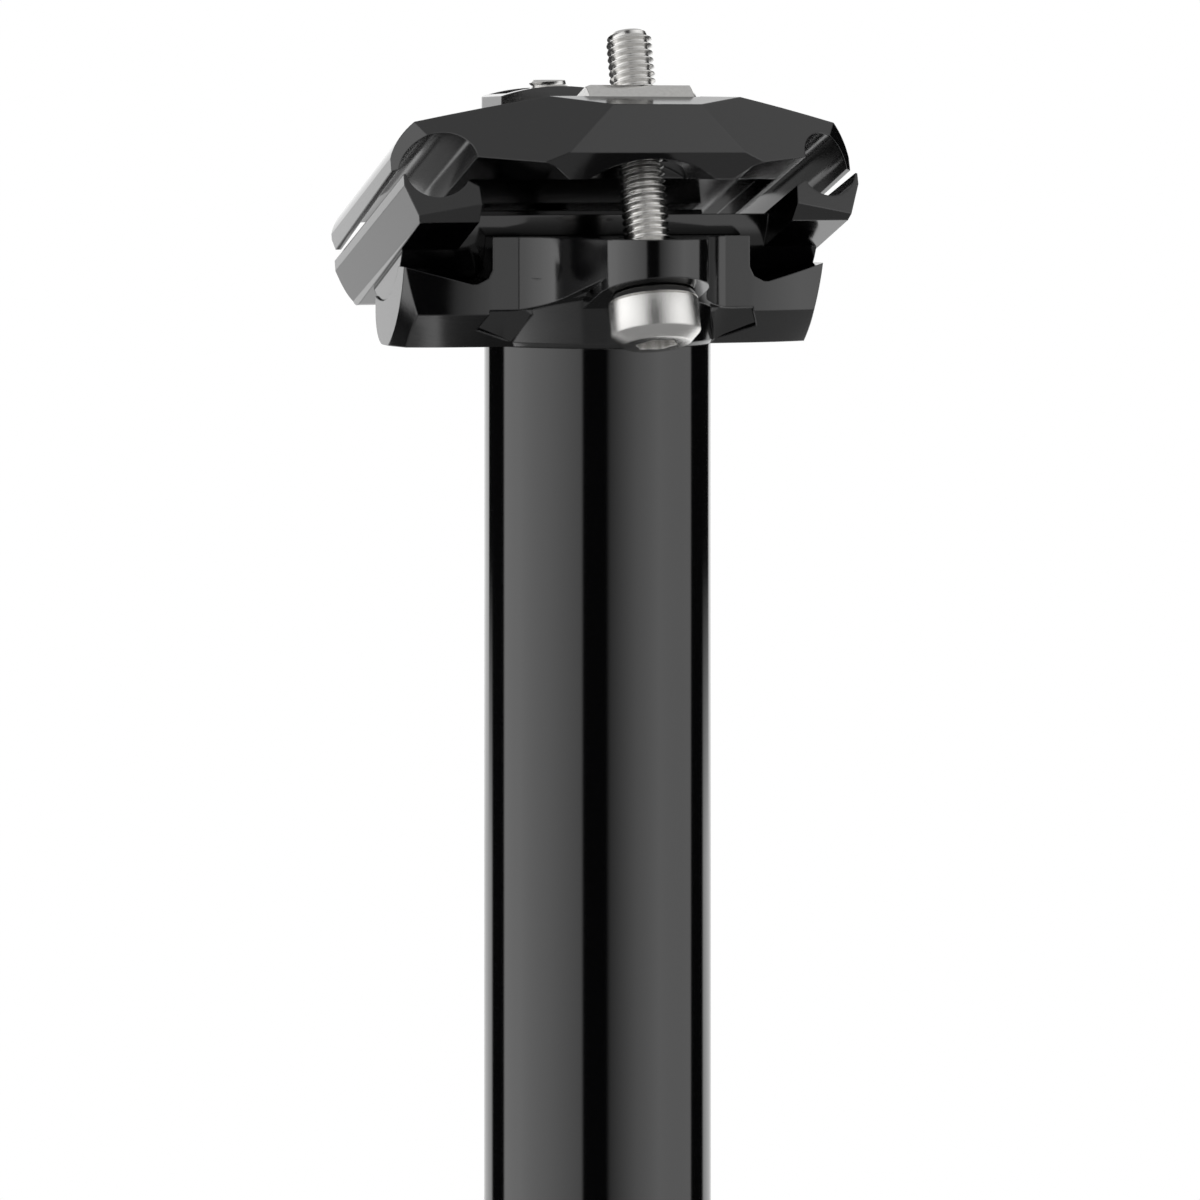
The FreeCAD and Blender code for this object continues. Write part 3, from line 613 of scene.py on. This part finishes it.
sample = threaded_rod(BOLT_LENGTH)
open_edges = sum(edge.is_boundary for edge in sample.edges)
print("threaded rod:", len(sample.faces), "faces, open edges:", open_edges)
sample.free()

# %% [markdown]
# ## The bolt's head
#
# It is a plain barrel 9.6 mm across, with a cone that narrows towards its lower end and a six-pointed
# star socket. The outside is a stack of rings, each bridged to the next. The socket starts as a circle
# that is pushed in between six points, bridged to the cone's small rim and drawn up into the head.

# %% Head with a star socket
HEAD_RADIUS = 4.8 * MM
HEAD_HEIGHT = 4.7 * MM
CONE_HEIGHT = 1.1 * MM
CONE_RADIUS = HEAD_RADIUS - 1.27 * MM
CONE_RIM = 0.12 * MM
CONE_RIM_RISE = 0.05 * MM
SHOULDER_DROP = 0.06 * MM
EDGE_ROUND = 0.16 * MM
INNER_RING_SHARE = 0.7
SOCKET_RADIUS = 2.2 * MM
SOCKET_FLARE = 0.12 * MM
SOCKET_WAVE = 0.3 * MM
SOCKET_DEPTH = 2.6 * MM
SOCKET_POINT = 0.5 * MM
SOCKET_POINTS = 6
ROUND_STEPS = 72


def ring_of(bm, radius, height):
    made = bmesh.ops.create_circle(bm, cap_ends=False, radius=radius, segments=ROUND_STEPS)
    bmesh.ops.translate(bm, verts=made["verts"], vec=(0, 0, height))
    return made["verts"]


def edges_among(verts):
    chosen = set(verts)
    touching = {edge for vert in verts for edge in vert.link_edges}
    return [edge for edge in touching if set(edge.verts) <= chosen]


def bridge(bm, lower, upper):
    bmesh.ops.bridge_loops(bm, edges=edges_among(lower) + edges_among(upper))


def socket_head():
    """The head stands on the origin with its socket downwards, its flat top at HEAD_HEIGHT."""
    head = bmesh.new()
    outline = [
        (CONE_RADIUS, 0),
        (CONE_RADIUS + CONE_RIM, CONE_RIM_RISE),
        (HEAD_RADIUS - EDGE_ROUND, CONE_HEIGHT - SHOULDER_DROP),
        (HEAD_RADIUS, CONE_HEIGHT + EDGE_ROUND),
        (HEAD_RADIUS, HEAD_HEIGHT - EDGE_ROUND),
        (HEAD_RADIUS - EDGE_ROUND, HEAD_HEIGHT),
        (THREAD_RADIUS * INNER_RING_SHARE, HEAD_HEIGHT),
    ]
    rings = [ring_of(head, radius, height) for radius, height in outline]
    for lower, upper in zip(rings, rings[1:]):
        bridge(head, lower, upper)
    mouth = ring_of(head, SOCKET_RADIUS + SOCKET_FLARE, 0)
    deep = ring_of(head, SOCKET_RADIUS, SOCKET_DEPTH)
    for ring in (mouth, deep):
        for vert in ring:
            angle = math.atan2(vert.co.y, vert.co.x)
            wave = SOCKET_WAVE * (math.cos(SOCKET_POINTS * angle) - 1) / 2
            vert.co.xy = vert.co.xy * (1 + wave / SOCKET_RADIUS)
    bridge(head, rings[0], mouth)
    bridge(head, mouth, deep)
    floor = bmesh.ops.edgeloop_fill(head, edges=edges_among(deep))["faces"]
    point = bmesh.ops.poke(head, faces=floor)["verts"]
    bmesh.ops.translate(head, verts=point, vec=(0, 0, SOCKET_POINT))
    bmesh.ops.edgeloop_fill(head, edges=edges_among(rings[-1]))
    bmesh.ops.recalc_face_normals(head, faces=head.faces)
    return head


sample = socket_head()
print("bolt head:", len(sample.faces), "faces")
sample.free()

# %% [markdown]
# ## Bolts in place
#
# A bolt is made standing on the origin, head and rod in one mesh with a steel for each, and is then
# turned onto its line. It replaces the imported bolt and rides on the body that slides through the nut.

# %% Bolts in place
SMOOTH_BELOW = 40
ROD_MATERIAL = 1


def stand_on(axis, foot):
    """The turn and shift that stand a piece made along +Z on a point, along an axis."""
    return Matrix.Translation(foot) @ Vector((0, 0, 1)).rotation_difference(axis).to_matrix().to_4x4()


def to_object(bm, name, materials):
    mesh = bpy.data.meshes.new(name)
    bm.to_mesh(mesh)
    bm.free()
    for material in materials:
        mesh.materials.append(material)
    piece = bpy.data.objects.new(name, mesh)
    bpy.context.collection.objects.link(piece)
    for polygon in mesh.polygons:
        polygon.use_smooth = True
    mesh.set_sharp_from_angle(angle=math.radians(SMOOTH_BELOW))
    return piece


def make_bolt(side):
    tip, axis = bolt_line(side)
    under_head = tip - axis * BOLT_LENGTH
    head = socket_head()
    rod = threaded_rod(BOLT_LENGTH)
    bmesh.ops.translate(rod, verts=rod.verts, vec=(0, 0, HEAD_HEIGHT))
    whole = bpy.data.meshes.new(side + "_bolt_rod")
    rod.to_mesh(whole)
    rod.free()
    first_rod_face = len(head.faces)
    head.from_mesh(whole)
    head.faces.ensure_lookup_table()
    for face in head.faces[first_rod_face:]:
        face.material_index = ROD_MATERIAL
    bmesh.ops.transform(head, matrix=stand_on(axis, under_head - axis * HEAD_HEIGHT), verts=head.verts)
    piece = to_object(head, side + "_threaded_bolt", [blasted_steel, thread_steel])
    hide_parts(side + "_bolt")
    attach(piece, side + "_screw")
    print(piece.name, len(piece.data.polygons), "faces")


for side in SIDES:
    make_bolt(side)

# %% [markdown]
# ## The floor
#
# The post stands on a small pale disc. It is white to the camera because the disc is pale, lit evenly,
# and adds a little of its own light for camera rays only, so the shadow still shows. It is kept out of
# the metal's reflections, because the undersides are dark in the photograph.

# %% Floor
FLOOR_RADIUS = 0.6
FLOOR_SIDES = 96
FLOOR_ROUGHNESS = 0.9
FLOOR_SHADES = (0.86, 0.88)
FLOOR_GLOW = 0.35
CLOUD_SCALE = 6.0
CLOUD_DETAIL = 2.0

floor_bm = bmesh.new()
bmesh.ops.create_circle(floor_bm, cap_ends=True, radius=FLOOR_RADIUS, segments=FLOOR_SIDES)
floor_material, tree, shader = new_material("pale_floor")
shader.inputs["Roughness"].default_value = FLOOR_ROUGHNESS
shader.inputs["Specular IOR Level"].default_value = 0.0
cloud = object_noise(tree, CLOUD_SCALE, CLOUD_DETAIL)
shade = mix_colour(tree, cloud, grey(FLOOR_SHADES[0]), grey(FLOOR_SHADES[1]))
join(tree, shade, shader.inputs["Base Color"])
path = add_node(tree, "ShaderNodeLightPath")
glow_level = math_node(tree, "MULTIPLY", path.outputs["Is Camera Ray"], FLOOR_GLOW)
glow = add_node(tree, "ShaderNodeEmission", {"Color": grey(1), "Strength": glow_level})
both = add_node(tree, "ShaderNodeAddShader", {0: shader.outputs[0], 1: glow.outputs[0]})
output = next(node for node in tree.nodes if node.type == "OUTPUT_MATERIAL")
join(tree, both.outputs[0], output.inputs["Surface"])
floor = to_object(floor_bm, "floor", [floor_material])
floor.visible_glossy = False
print("floor radius", FLOOR_RADIUS)

# %% [markdown]
# ## The lamp
#
# One broad soft lamp stands at the upper left, on the camera's side, and gives the shadow a direction. It
# is not seen in the metal, whose bands come from the world alone.

# %% Lamp
LAMP_SIZE = 0.5
LAMP_ENERGY = 6.0
LAMP_AIM = Vector((0, 0, 0.3))
LAMP_RISE = Vector((0, 0, 0.7))
LAMP_REACH = 0.8
TOWARDS_CAMERA = 0.6
TOWARDS_LEFT = 0.7

lamp_data = bpy.data.lights.new("soft_box", "AREA")
lamp_data.shape = "SQUARE"
lamp_data.size = LAMP_SIZE
lamp_data.energy = LAMP_ENERGY
lamp = bpy.data.objects.new("soft_box", lamp_data)
sideways = (to_camera * TOWARDS_CAMERA - to_right * TOWARDS_LEFT).normalized()
lamp.location = LAMP_AIM + sideways * LAMP_REACH + LAMP_RISE
lamp.rotation_euler = (lamp.location - LAMP_AIM).to_track_quat("Z", "Y").to_euler()
lamp.visible_glossy = False
bpy.context.collection.objects.link(lamp)
print("lamp at", [round(value, 2) for value in lamp.location])
